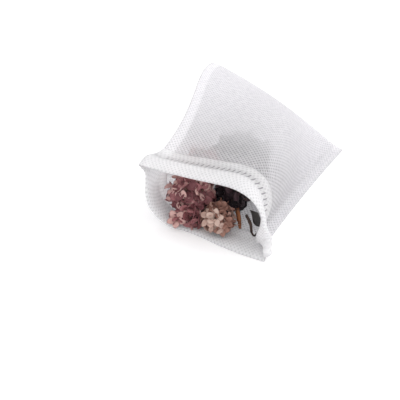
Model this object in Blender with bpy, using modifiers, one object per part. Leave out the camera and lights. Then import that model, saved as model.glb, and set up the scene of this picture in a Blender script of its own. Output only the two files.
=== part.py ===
"""Tea filter bag of thin nonwoven, lying on its side with its mouth open, part filled with dried flowers.

Metres and degrees. +X runs across the bag to its right seam, +Y from the mouth to the closed end, +Z up.
The bag rests on Z = 0, and the origin is the middle of its footprint.
"""

import math

import bmesh
import bpy
import numpy as np
from mathutils import Vector
from mathutils.bvhtree import BVHTree

# The sheet, as cut, folded and sealed
BAG_WIDTH = 0.080
BAG_LENGTH = 0.100
SHEET = 0.0002
SEAM_WIDTH = 0.005
HEM_DEPTH = 0.0105
HEM_TURN = 0.0155
HEM_LOFT = 0.0012
TUNNEL_END_LOFT = 0.0034
OUTWARD_SHARE = 0.6
CORNER_GAP = 0.0024
END_FOLD = 0.001

# How the open bag lies. Slopes run across the mouth from the left seam to the right one; a section is the upper
# wall's slope, its slope past the crease, the crease's share of the width, and how softly it turns there.
LIP_SECTION = (-0.6, -82.0, 0.70, 0.14)
BODY_SECTION = (3.7, -113.0, 0.63, 0.24)
FLOOR_SLOPE = 3.6
FLOOR_SOFTNESS = 0.24
FLOOR_REACH = 0.55
LEFT_SEAM_SLOPE = -13.7
RIGHT_SEAM_SLOPE = -11.5
LEAN = 25.5
OPEN_POWER = 2.1
CLOSED_END_BOW = 0.0035
CLOSED_END_SHIFT = 0.0047
LIP_FLARE = 0.0038
CORNER_REST_HEIGHT = 0.0014
SEAM_REST_HEIGHT = 0.0004

# The filling. Places are a share of the bed's width, a share of the bag's length from the lip, and a share of the
# height between the walls; the heaps' half sizes are shares of that height too.
BED_CLEARANCE = 0.0003
FLORET_RELIEF = 0.22
STEM_RADIUS = 0.0007
STALK_RADIUS = 0.0006
LEAF_THICKNESS = 0.0006
LEAF_WIDTH = 0.006
HEAPS = (
    ("mauve_flowers", 0.29, 0.14, 0.42, 0.37, 0.38, 0.39, 30, "mauve"),
    ("pink_flowers", 0.60, 0.065, 0.30, 0.27, 0.26, 0.27, 20, "pink"),
    ("dark_flowers", 0.50, 0.42, 0.52, 0.50, 0.56, 0.44, 36, "dark"),
    ("fallen_petals", 0.30, 0.02, 0.10, 0.13, 0.09, 0.09, 9, "mauve"),
    ("small_bud", 0.10, 0.138, 0.90, 0.11, 0.11, 0.11, 7, "mauve"),
)
BROWN_STEM = ((0.68, 0.15, 0.64), (0.72, 0.13, 0.53), (0.76, 0.115, 0.44))
DARK_STEM = ((0.80, 0.12, 0.36), (0.84, 0.105, 0.20), (0.87, 0.09, 0.05))
LEAF_LINE = ((0.88, 0.17, 0.16), (0.90, 0.10, 0.66))
SETTLE_STEP = 0.0005
SETTLE_TURNS = 160

# How finely the walls are divided
ACROSS = 28
PATH_STEPS = 400

PARTS = bpy.data.collections.new("tea_filter_bag")


def clear_scene():
    for obj in list(bpy.data.objects):
        bpy.data.objects.remove(obj, do_unlink=True)
    bpy.context.scene.collection.children.link(PARTS)


def make_material(name, colour, roughness):
    material = bpy.data.materials.new(name)
    material.use_nodes = True
    surface = material.node_tree.nodes["Principled BSDF"]
    surface.inputs["Base Color"].default_value = (*colour, 1.0)
    surface.inputs["Roughness"].default_value = roughness
    surface.inputs["Metallic"].default_value = 0.0
    return material


def add_mesh(name, points, faces, material):
    mesh = bpy.data.meshes.new(name)
    mesh.from_pydata([tuple(p) for p in points], [], faces)
    mesh.validate()
    mesh.materials.append(material)
    obj = bpy.data.objects.new(name, mesh)
    PARTS.objects.link(obj)
    return obj


def ease(x):
    x = np.clip(x, 0.0, 1.0)
    return x * x * (3.0 - 2.0 * x)


def stations_along():
    """Distances from the lip at which the walls have a row of points: close together in the hem."""
    tunnel = HEM_DEPTH * np.array([0.0, 0.03, 0.1, 0.22, 0.4, 0.6, 0.8, 1.0])
    turn = [HEM_DEPTH + 0.6 * (HEM_TURN - HEM_DEPTH), HEM_TURN, HEM_TURN + 0.5 * SHEET]
    beyond = np.linspace(HEM_TURN + 0.002, BAG_LENGTH - END_FOLD, 13)
    return np.concatenate([tunnel, turn, beyond, [BAG_LENGTH]])


def stations_across():
    """Shares of the width at which the walls have a column of points, with one on each seam's inner edge."""
    seam = SEAM_WIDTH / BAG_WIDTH
    between = np.linspace(seam, 1.0 - seam, ACROSS + 1)
    return np.concatenate([[0.0, seam / 2], between, [1.0 - seam / 2, 1.0]])


def cross_path(start, end, crease, softness, band):
    """Points across the sheet in the X-Z plane for one row: slope `start` before the crease and `end` after it,
    with both seam bands at their own slope. Every path has the sheet's full width."""
    middle = (np.arange(PATH_STEPS) + 0.5) / PATH_STEPS
    seam = SEAM_WIDTH / BAG_WIDTH
    slope = start + (end - start) * ease((middle - crease) / (2 * softness) + 0.5)
    left = band * (1 - ease((middle - seam) / seam + 0.5))
    right = band * ease((middle - (1 - seam)) / seam + 0.5)
    slope = slope + left * (LEFT_SEAM_SLOPE - slope) + right * (RIGHT_SEAM_SLOPE - slope)
    slope = np.radians(slope)
    step = BAG_WIDTH / PATH_STEPS
    path = np.cumsum(np.stack([np.cos(slope), np.sin(slope)], axis=1) * step, axis=0)
    return np.concatenate([[[0.0, 0.0]], path])


def unit(slope):
    return np.array([math.cos(math.radians(slope)), math.sin(math.radians(slope))])


def lower_shape(top_slope, right_drop, top_crease, floor_slope):
    """Slope of the lower wall's drop, and share of the width at its crease, so that the drop and the stretch at
    `floor_slope` together reach as far as the upper wall does."""
    reach = top_crease * unit(top_slope) + (1.0 - top_crease) * unit(right_drop)
    floor = unit(floor_slope)
    short = reach - floor
    crease = short @ short / max(2.0 * (1.0 - reach @ floor), 1e-9)
    crease = min(max(crease, 0.5 * (1.0 - top_crease)), 0.5)
    drop = reach - (1.0 - crease) * floor
    return math.degrees(math.atan2(drop[1], drop[0])), crease


def lay_walls(across, along):
    """The inner faces of the upper and the lower wall, as two grids [row, column, xyz]. Each row is as wide as the
    sheet, and each column as long, so the walls bend without stretching. They meet in the seams and at the end."""
    seam = SEAM_WIDTH / BAG_WIDTH
    ends = np.linspace(0.0, 1.0, PATH_STEPS + 1)
    edge = np.minimum(across, 1.0 - across)
    near_edge = 1.0 - ease((edge - seam) / (2.0 * seam))
    between = np.clip((ends - seam) / (1.0 - 2.0 * seam), 0.0, 1.0)
    upper = np.zeros((len(along), len(across), 3))
    lower = np.zeros_like(upper)
    for row, distance in enumerate(along):
        share = distance / BAG_LENGTH
        hem = min(distance / HEM_DEPTH, 1.0)
        opened = 1.0 - share**OPEN_POWER
        band = ease(hem)
        body = ease(distance / HEM_TURN)
        section = [lip + (inner - lip) * body for lip, inner in zip(LIP_SECTION, BODY_SECTION)]
        top_slope, right_drop = (-LEAN + (slope + LEAN) * opened for slope in section[:2])
        top_crease, softness = section[2:]
        top = cross_path(top_slope, right_drop, top_crease, softness, band)
        rise = max(0.0, (share - FLOOR_REACH) / (1.0 - FLOOR_REACH)) ** 1.5
        floor_slope = FLOOR_SLOPE - (LEAN + FLOOR_SLOPE) * rise
        left_drop, floor_crease = lower_shape(top_slope, right_drop, top_crease, floor_slope)
        bed = cross_path(left_drop, floor_slope, floor_crease, FLOOR_SOFTNESS, band)
        bed = bed + (top[-1] - bed[-1]) * between[:, None]
        bow = CLOSED_END_BOW * np.sin(math.pi * across) * share**2
        apart = CORNER_GAP / 2 * (1.0 - hem**4) * near_edge
        rest = SEAM_REST_HEIGHT + (CORNER_REST_HEIGHT - SEAM_REST_HEIGHT) * (1.0 - band)
        edge_line = LIP_FLARE * (1.0 - body) + CLOSED_END_SHIFT * share**2
        for grid, path, side in ((upper, top, 1.0), (lower, bed, -1.0)):
            path = path - top[-1]
            grid[row, :, 0] = np.interp(across, ends, path[:, 0]) + edge_line
            grid[row, :, 2] = np.interp(across, ends, path[:, 1]) + bow + side * apart + rest
    for grid in (upper, lower):
        grid[-1, :, 1] = BAG_LENGTH
        for row in range(len(along) - 2, -1, -1):
            sideways = grid[row] - grid[row + 1]
            length = along[row + 1] - along[row]
            spent = sideways[:, 0] ** 2 + sideways[:, 2] ** 2
            grid[row, :, 1] = grid[row + 1, :, 1] - np.sqrt(np.maximum(length**2 - spent, (0.3 * length) ** 2))
    return upper, lower


def normals_of(grid):
    """Unit normals of a wall's grid, pointing up out of a level wall."""
    down_rows = np.gradient(grid, axis=0)
    along_columns = np.gradient(grid, axis=1)
    cross = np.cross(along_columns, down_rows)
    return cross / np.linalg.norm(cross, axis=2, keepdims=True)


def hem_swell(across, along, end_loft):
    """How far the tunnel stands open: a rounded lip, a point at the seals, `end_loft` at its right end."""
    reach = np.clip(along / HEM_DEPTH, 0.0, 1.0)
    profile = np.sqrt(reach) * (1.0 - reach) ** 1.3
    profile = profile / profile.max()
    flare = ease((across - 0.84) / 0.16)
    loft = HEM_LOFT + (end_loft - HEM_LOFT) * flare
    return profile[:, None] * loft[None, :]


def face_outwards(obj):
    shape = bmesh.new()
    shape.from_mesh(obj.data)
    bmesh.ops.recalc_face_normals(shape, faces=shape.faces)
    if shape.calc_volume(signed=True) < 0:
        bmesh.ops.reverse_faces(shape, faces=shape.faces)
    shape.to_mesh(obj.data)
    shape.free()


class Layout:
    """The walls' grids, moved so that the footprint's middle is at the origin and the lowest point at Z = 0."""

    def __init__(self):
        self.across = stations_across()
        self.along = stations_along()
        self.upper, self.lower = lay_walls(self.across, self.along)
        self.normals = (normals_of(self.upper), -normals_of(self.lower))
        self.swells = [hem_swell(self.across, self.along, loft) for loft in (TUNNEL_END_LOFT, HEM_LOFT)]
        outward = (OUTWARD_SHARE, 0.0)
        self.outsides = [
            grid + self.normals[side] * (SHEET + outward[side] * self.swells[side])[:, :, None]
            for side, grid in enumerate((self.upper, self.lower))
        ]
        self.outsides[1][:, :, 2] = np.maximum(self.outsides[1][:, :, 2], 0.0)
        skins = np.concatenate([outside.reshape(-1, 3) for outside in self.outsides])
        middle = (skins.min(axis=0) + skins.max(axis=0)) / 2
        for grid in (self.upper, self.lower, *self.outsides):
            grid[:, :, :2] -= middle[:2]
        self.thickness = [self.wall_thickness(side) for side in (0, 1)]
        self.insides = [
            self.outsides[side] - self.normals[side] * self.thickness[side][:, :, None] for side in (0, 1)
        ]

    def wall_thickness(self, side):
        """One layer, two layers as far as the hem's raw edge, and the tunnel, but never past the other wall."""
        layers = np.where(self.along <= HEM_TURN, 2.0 * SHEET, SHEET)[:, None]
        width = np.linalg.norm(self.outsides[0] - self.outsides[1], axis=2)
        return np.minimum(layers + self.swells[side], 0.45 * width)

    def at(self, share, distance):
        """X, Y, height of the bed and height of the roof, at a share of the bed's width from the left and a
        distance from the lip."""
        row = int(np.argmin(np.abs(self.along - distance)))
        left, right = self.lower[row, :, 0].min(), self.lower[row, -1, 0]
        x = left + share * (right - left)
        low = int(np.argmin(self.lower[row, :, 2]))
        bed = np.interp(x, self.lower[row, low:, 0], self.insides[1][row, low:, 2])
        roof = np.interp(x, self.upper[row, :, 0], self.insides[0][row, :, 2])
        return x, self.lower[row, low, 1], bed, roof

    def inside_point(self, share, distance, height):
        """A point in the bag: share of the bed's width, share of the length, share of the height between the walls."""
        x, y, bed, roof = self.at(share, distance * BAG_LENGTH)
        return x, y, bed + height * (roof - bed)

    def hollow_tree(self):
        """A search tree of the walls' inner faces, whose normals face the hollow."""
        rows, columns = self.upper.shape[:2]
        faces = []
        for side in (0, 1):
            start = side * rows * columns
            for r in range(rows - 1):
                for c in range(columns - 1):
                    here = start + r * columns + c
                    corners = (here, here + columns, here + columns + 1, here + 1)
                    faces.append(corners[::-1] if side else corners)
        points = np.concatenate([inside.reshape(-1, 3) for inside in self.insides])
        return BVHTree.FromPolygons([Vector(p) for p in points], faces)


class Skin:
    """Builds the bag as one closed skin: the outsides and insides of both walls, the lips, the hollow of each hem,
    and the sealed seams and closed end, where the two walls are one."""

    def __init__(self, layout):
        self.layout = layout
        self.rows, self.columns = layout.upper.shape[:2]
        self.seal_row = int(np.argmin(np.abs(layout.along - HEM_DEPTH)))
        self.last_row = self.rows - 2
        self.left, self.right = 2, self.columns - 3
        self.tunnel = (1, self.seal_row - 1)
        self.points = []
        self.faces = []
        self.index = {}

    def shared(self, kind, row, column):
        """True where two skins meet in one point: round the edge of the bag's hollow, and along a tunnel's sides."""
        if kind in ("near", "far"):
            return row in self.tunnel
        if kind == "outside":
            return False
        if row == self.seal_row:
            return column <= self.left or column >= self.right
        if row > self.seal_row and column in (self.left, self.right):
            return True
        return row == self.last_row

    def place(self, kind, side, row, column):
        layout = self.layout
        outside = layout.outsides[side][row, column]
        if kind == "outside":
            return outside
        thick = layout.thickness[side][row, column]
        layer = min(SHEET, 0.4 * thick)
        depth = {"inside": thick, "near": layer, "far": thick - layer}[kind]
        if self.shared(kind, row, column):
            if kind == "inside":
                return (layout.outsides[0][row, column] + layout.outsides[1][row, column]) / 2
            depth = thick / 2
        return outside - layout.normals[side][row, column] * depth

    def point(self, kind, side, row, column):
        key = (kind, side, row, column)
        if self.shared(kind, row, column):
            key = ("hollow edge", 0, row, column) if kind == "inside" else ("tunnel edge", side, row, column)
        if key not in self.index:
            self.index[key] = len(self.points)
            self.points.append(tuple(self.place(kind, side, row, column)))
        return self.index[key]

    def face(self, side, *corners):
        indices = [self.point(kind, side, row, column) for kind, row, column in corners]
        self.faces.append(list(dict.fromkeys(indices)))

    def quad(self, side, kind, row, column):
        self.face(
            side, (kind, row, column), (kind, row, column + 1), (kind, row + 1, column + 1), (kind, row + 1, column)
        )

    def wall(self, side):
        """One wall's outside, its inside round the hollow, its lip, and its hem's tunnel."""
        for c in range(self.columns - 1):
            for r in range(self.rows - 1):
                self.quad(side, "outside", r, c)
            for r in range(self.last_row):
                if r < self.seal_row or self.left <= c < self.right:
                    self.quad(side, "inside", r, c)
            for r in range(*self.tunnel):
                self.quad(side, "near", r, c)
                self.quad(side, "far", r, c)
            self.face(side, ("outside", 0, c), ("outside", 0, c + 1), ("inside", 0, c + 1), ("inside", 0, c))

    def tunnel_mouth(self, side, c):
        """The cut edge round one open end of a hem, where both layers show."""
        first, last = self.tunnel
        self.face(side, ("inside", 0, c), ("outside", 0, c), ("outside", first, c), ("near", first, c), ("inside", first, c))
        for r in range(first, last):
            self.face(side, ("outside", r, c), ("outside", r + 1, c), ("near", r + 1, c), ("near", r, c))
            self.face(side, ("inside", r, c), ("inside", r + 1, c), ("far", r + 1, c), ("far", r, c))
        end = self.seal_row
        self.face(
            side, ("near", last, c), ("outside", last, c), ("outside", end, c), ("inside", end, c), ("inside", last, c)
        )

    def closing_edge(self, line):
        """The cut or folded edge where both walls end together, along a line of rows and columns."""
        for (row, column), (next_row, next_column) in zip(line, line[1:]):
            corners = [self.point("outside", side, row, column) for side in (0, 1)]
            corners += [self.point("outside", side, next_row, next_column) for side in (1, 0)]
            if row == self.seal_row:
                corners.insert(1, self.point("inside", 0, row, column))
            self.faces.append(corners)

    def build(self, name, material):
        for side in (0, 1):
            self.wall(side)
            for column in (0, self.columns - 1):
                self.tunnel_mouth(side, column)
        for column in (0, self.columns - 1):
            self.closing_edge([(row, column) for row in range(self.seal_row, self.rows)])
        self.closing_edge([(self.rows - 1, column) for column in range(self.columns)])
        obj = add_mesh(name, self.points, self.faces, material)
        face_outwards(obj)
        return obj


def tree_of(obj):
    """A search tree of a loose piece's surface, whose normals face outwards."""
    bpy.context.view_layer.update()
    shown = obj.evaluated_get(bpy.context.evaluated_depsgraph_get())
    mesh = shown.to_mesh()
    points = [v.co.copy() for v in mesh.vertices]
    faces = [tuple(p.vertices) for p in mesh.polygons]
    shown.to_mesh_clear()
    return BVHTree.FromPolygons(points, faces)


def settle(points, clearance, obstacles):
    """How far to move a loose piece, given by its points, so that it rests `clearance` off what carries it: it
    sinks until a point comes close, and is pushed back out along the surface it came close to."""
    moved = Vector((0.0, 0.0, 0.0))
    step = SETTLE_STEP
    points = [Vector(p) for p in points]
    for turn in range(SETTLE_TURNS):
        worst, push = 0.0, None
        for point in points:
            place = point + moved
            for tree in obstacles:
                nearest, normal, _, distance = tree.find_nearest(place)
                side = 1.0 if (place - nearest).dot(normal) >= 0.0 else -1.0
                lacking = clearance - side * distance
                if lacking > worst:
                    away = (place - nearest) * side
                    worst, push = lacking, (away.normalized() if away.length > 1e-7 else normal) * lacking
        if push is not None:
            moved += push * 1.02
        elif turn < SETTLE_TURNS * 3 // 4:
            moved.z -= step
        else:
            break
        if turn % 12 == 11:
            step *= 0.75
    return moved


def lumpy_cluster(name, centre, radii, florets, material, obstacles):
    """A heap of florets as one solid: a ball whose surface swells at evenly spread heads, settled on the bed."""
    shape = bmesh.new()
    bmesh.ops.create_icosphere(shape, subdivisions=3, radius=1.0)
    golden = math.pi * (3.0 - math.sqrt(5.0))
    heads = []
    for k in range(florets):
        height = 1.0 - 2.0 * (k + 0.5) / florets
        ring = math.sqrt(1.0 - height * height)
        heads.append(Vector((ring * math.cos(golden * k), ring * math.sin(golden * k), height)))
    spread = 2.2 / math.sqrt(florets)
    for vertex in shape.verts:
        direction = vertex.co.normalized()
        nearest = min((direction - head).length for head in heads)
        swell = 1.0 - FLORET_RELIEF * (1.0 - math.cos(min(nearest / spread, 1.0) * math.pi / 2))
        vertex.co = Vector([direction[i] * swell * radii[i] + centre[i] for i in range(3)])
    bmesh.ops.translate(shape, verts=shape.verts, vec=settle([v.co for v in shape.verts], BED_CLEARANCE, obstacles))
    mesh = bpy.data.meshes.new(name)
    shape.to_mesh(mesh)
    shape.free()
    mesh.materials.append(material)
    mesh.shade_smooth()
    obj = bpy.data.objects.new(name, mesh)
    PARTS.objects.link(obj)
    obstacles.append(tree_of(obj))
    return obj


def stem(name, points, radius, material, obstacles):
    """A thin dry stalk along a smooth curve through its points, settled on what lies under it."""
    ends = [Vector(p) for p in points]
    samples = [a.lerp(b, k / 6) for a, b in zip(ends, ends[1:]) for k in range(7)]
    moved = settle(samples, radius + BED_CLEARANCE, obstacles)
    curve = bpy.data.curves.new(name, "CURVE")
    curve.dimensions = "3D"
    curve.bevel_depth = radius
    curve.bevel_resolution = 2
    curve.use_fill_caps = True
    curve.resolution_u = 4
    spline = curve.splines.new("POLY")
    spline.points.add(len(points) - 1)
    for target, point in zip(spline.points, ends):
        target.co = (*(point + moved), 1.0)
    curve.materials.append(material)
    obj = bpy.data.objects.new(name, curve)
    PARTS.objects.link(obj)
    obstacles.append(tree_of(obj))
    return obj


def leaf(name, foot, tip, material, obstacles):
    """A narrow dry leaf from foot to tip, cupped along its middle."""
    rows = 9
    foot, tip = Vector(foot), Vector(tip)
    along = tip - foot
    side = along.cross(Vector((1.0, 0.0, 0.0))).normalized()
    cup = side.cross(along).normalized()
    points = []
    for r in range(rows):
        share = r / (rows - 1)
        half = LEAF_WIDTH / 2 * (0.12 + 0.88 * math.sin(math.pi * share) ** 0.8)
        middle = foot + along * share
        points += [middle - side * half, middle - cup * half * 0.4, middle + side * half]
    moved = settle(points, LEAF_THICKNESS / 2 + BED_CLEARANCE, obstacles)
    faces = []
    for r in range(rows - 1):
        for c in range(2):
            here = 3 * r + c
            faces.append((here, here + 1, here + 4, here + 3))
    obj = add_mesh(name, [point + moved for point in points], faces, material)
    thicken = obj.modifiers.new("thickness", "SOLIDIFY")
    thicken.thickness = LEAF_THICKNESS
    thicken.offset = 0.0
    thicken.use_even_offset = True
    return obj


def build_filling(layout):
    petals = {
        "mauve": make_material("dried_mauve_petals", (0.26, 0.11, 0.13), 0.8),
        "pink": make_material("dried_pink_petals", (0.60, 0.40, 0.36), 0.8),
        "dark": make_material("dried_dark_petals", (0.12, 0.05, 0.06), 0.85),
    }
    stalk = make_material("dried_stalk", (0.25, 0.09, 0.03), 0.7)
    dark_stalk = make_material("dried_dark_stalk", (0.03, 0.015, 0.01), 0.7)
    leaf_brown = make_material("dried_leaf", (0.03, 0.02, 0.02), 0.7)
    obstacles = [layout.hollow_tree()]

    for name, share, distance, height, wide, deep, tall, florets, colour in HEAPS:
        x, y, bed, roof = layout.at(share, distance * BAG_LENGTH)
        room = roof - bed
        centre = (x, y, bed + room * height)
        radii = (room * wide, room * deep, room * tall)
        lumpy_cluster(name, centre, radii, florets, petals[colour], obstacles)
    for name, line, radius, material in (
        ("brown_stem", BROWN_STEM, STEM_RADIUS, stalk),
        ("dark_stem", DARK_STEM, STALK_RADIUS, dark_stalk),
    ):
        stem(name, [layout.inside_point(*place) for place in line], radius, material, obstacles)
    foot, tip = [layout.inside_point(*place) for place in LEAF_LINE]
    leaf("dark_leaf", foot, tip, leaf_brown, obstacles)


def main():
    clear_scene()
    layout = Layout()
    fabric = make_material("white_nonwoven", (0.84, 0.84, 0.85), 0.85)
    Skin(layout).build("filter_bag", fabric)
    build_filling(layout)


main()
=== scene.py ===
"""Looks of an open tea filter bag of thin nonwoven that lies on its side, part filled with dried flowers.

Metres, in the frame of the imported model: +X across the bag, +Y from its mouth to the closed end, +Z up.
"""

import math
import random

import bmesh
import bpy
import numpy as np
from mathutils import Matrix, Vector, noise
from mathutils.bvhtree import BVHTree


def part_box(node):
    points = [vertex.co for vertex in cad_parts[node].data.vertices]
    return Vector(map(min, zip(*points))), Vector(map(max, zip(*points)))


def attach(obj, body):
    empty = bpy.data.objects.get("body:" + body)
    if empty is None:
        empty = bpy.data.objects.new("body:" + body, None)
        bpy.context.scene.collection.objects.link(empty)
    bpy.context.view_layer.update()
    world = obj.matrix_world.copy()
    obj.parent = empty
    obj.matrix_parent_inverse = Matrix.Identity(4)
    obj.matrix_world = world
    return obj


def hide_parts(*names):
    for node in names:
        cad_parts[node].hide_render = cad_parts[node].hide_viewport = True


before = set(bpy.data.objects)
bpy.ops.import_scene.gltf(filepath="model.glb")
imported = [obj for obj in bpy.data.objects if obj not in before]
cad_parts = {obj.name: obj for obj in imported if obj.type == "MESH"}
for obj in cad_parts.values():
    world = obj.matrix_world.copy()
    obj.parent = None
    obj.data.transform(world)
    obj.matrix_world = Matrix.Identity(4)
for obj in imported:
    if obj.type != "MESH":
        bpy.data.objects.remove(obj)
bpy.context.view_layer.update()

# The sheet, as cut, folded and sealed
BAG_WIDTH = 0.080
BAG_LENGTH = 0.100
SHEET = 0.0002
SEAM_WIDTH = 0.005
HEM_DEPTH = 0.0105
HEM_TURN = 0.0155
HEM_LOFT = 0.0012
TUNNEL_END_LOFT = 0.0036
OUTWARD_SHARE = 0.6
CORNER_GAP = 0.0024
END_FOLD = 0.001
FLAP_STAND = 0.00025

# How the open bag lies: slopes across the mouth from the left seam to the right one
LIP_SECTION = (-0.6, -82.0, 0.70, 0.14)
BODY_SECTION = (3.7, -113.0, 0.63, 0.24)
FLOOR_SLOPE = 3.6
FLOOR_SOFTNESS = 0.24
FLOOR_REACH = 0.55
LEFT_SEAM_SLOPE = -13.7
RIGHT_SEAM_SLOPE = -11.5
LEAN = 25.5
OPEN_POWER = 2.1
CLOSED_END_BOW = 0.0035
CLOSED_END_SHIFT = 0.0047
LIP_FLARE = 0.0038
CORNER_REST_HEIGHT = 0.0014
SEAM_REST_HEIGHT = 0.0004
CLEAR_OF_WALL = 0.0003

# The cloth's pattern, in millimetres: rows of bond dots to a millimetre, and the dashes of the seal line
DOT_ROWS_ACROSS = 0.56
DOT_ROWS_ALONG = 0.45
DASH_PITCH = 2.35
DASH_HALF_LENGTH = 1.2
DASH_LEAN = 0.05

# How finely the walls are divided
ACROSS = 92
SEAM_STEPS = 4
ALONG = 92
PATH_STEPS = 800

# The view: angles in degrees, lengths in metres, the focal length in widths of the picture
VIEW_TILT = 34.82
VIEW_TURN = 26.49
VIEW_DISTANCE = 0.3841
VIEW_FOCUS = 835.07 / 400
VIEW_SHIFT = (-0.016916, -0.01525)


# Small tools


def linear(code):
    """A colour written as sRGB hex, as the linear RGBA that a shader takes."""
    channels = [int(code[k : k + 2], 16) / 255 for k in (1, 3, 5)]
    return (*[c / 12.92 if c <= 0.04045 else ((c + 0.055) / 1.055) ** 2.4 for c in channels], 1.0)


def add_node(tree, kind, *inputs, **settings):
    """A shader node with its settings. Its inputs come in order, or in one dictionary by name or number. Each
    is a value, a socket, or another node, whose first output in use is linked."""
    made = tree.nodes.new("ShaderNode" + kind)
    for key, value in settings.items():
        setattr(made, key, value)
    by_name = inputs and isinstance(inputs[0], dict)
    for key, value in inputs[0].items() if by_name else enumerate(inputs):
        if isinstance(value, bpy.types.Node):
            value = next(output for output in value.outputs if output.enabled)
        if isinstance(value, bpy.types.NodeSocket):
            tree.links.new(value, made.inputs[key])
        else:
            made.inputs[key].default_value = value
    return made


def new_material(name):
    material = bpy.data.materials.new(name)
    material.use_nodes = True
    material.node_tree.nodes.clear()
    return material, material.node_tree


def millimetres(tree):
    """The cloth's own coordinates in millimetres: across from the left seam, and along from the lip."""
    uv = add_node(tree, "UVMap", uv_map="UVMap")
    parts = add_node(tree, "SeparateXYZ", {0: uv})
    return [add_node(tree, "Math", parts.outputs[k], 100.0, operation="MULTIPLY") for k in (0, 1)]


def select_only(*objects):
    bpy.ops.object.select_all(action="DESELECT")
    for obj in objects:
        obj.select_set(True)
    bpy.context.view_layer.objects.active = objects[0]


def apply_all(obj):
    select_only(obj)
    for modifier in [m.name for m in obj.modifiers]:
        bpy.ops.object.modifier_apply(modifier=modifier)


def ease(x):
    """A smooth step from 0 to 1."""
    x = np.clip(x, 0.0, 1.0)
    return x * x * (3.0 - 2.0 * x)


# The walls of the bag


def stations_along():
    """Distances from the lip at which the walls have a row of points: close together in the hem."""
    shares = (0, 0.012, 0.035, 0.07, 0.12, 0.18, 0.26, 0.36, 0.47, 0.58, 0.69, 0.8, 0.9, 0.96, 1)
    tunnel = HEM_DEPTH * np.array(shares)
    turn = np.linspace(HEM_DEPTH, HEM_TURN, 7)[1:]
    beyond = np.linspace(HEM_TURN + 0.0008, BAG_LENGTH - END_FOLD, ALONG)
    return np.concatenate([tunnel, turn, [HEM_TURN + 0.5 * SHEET], beyond, [BAG_LENGTH]])


def stations_across():
    """Shares of the width at which the walls have a column of points, with one on each seam's inner edge."""
    seam = SEAM_WIDTH / BAG_WIDTH
    band = np.linspace(0.0, seam, SEAM_STEPS + 1)
    return np.concatenate([band[:-1], np.linspace(seam, 1.0 - seam, ACROSS + 1), 1.0 - band[:-1][::-1]])


def cross_path(start, end, crease, softness, band):
    """Points across the sheet in the X-Z plane for one row: slope `start` before the crease and `end` after
    it, with both seam bands at their own slope. Every path has the sheet's full width."""
    middle = (np.arange(PATH_STEPS) + 0.5) / PATH_STEPS
    seam = SEAM_WIDTH / BAG_WIDTH
    slope = start + (end - start) * ease((middle - crease) / (2 * softness) + 0.5)
    left = band * (1 - ease((middle - seam) / seam + 0.5))
    right = band * ease((middle - (1 - seam)) / seam + 0.5)
    slope = slope + left * (LEFT_SEAM_SLOPE - slope) + right * (RIGHT_SEAM_SLOPE - slope)
    slope = np.radians(slope)
    step = BAG_WIDTH / PATH_STEPS
    path = np.cumsum(np.stack([np.cos(slope), np.sin(slope)], axis=1) * step, axis=0)
    return np.concatenate([[[0.0, 0.0]], path])


def unit(slope):
    """The direction in the X-Z plane of a slope in degrees."""
    return np.array([math.cos(math.radians(slope)), math.sin(math.radians(slope))])


def lower_shape(top_slope, right_drop, top_crease, floor_slope):
    """Slope of the lower wall's drop, and share of the width at its crease, so that the drop and the stretch
    at `floor_slope` together reach as far as the upper wall does."""
    reach = top_crease * unit(top_slope) + (1.0 - top_crease) * unit(right_drop)
    floor = unit(floor_slope)
    short = reach - floor
    crease = short @ short / max(2.0 * (1.0 - reach @ floor), 1e-9)
    crease = min(max(crease, 0.5 * (1.0 - top_crease)), 0.5)
    drop = reach - (1.0 - crease) * floor
    return math.degrees(math.atan2(drop[1], drop[0])), crease


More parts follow.
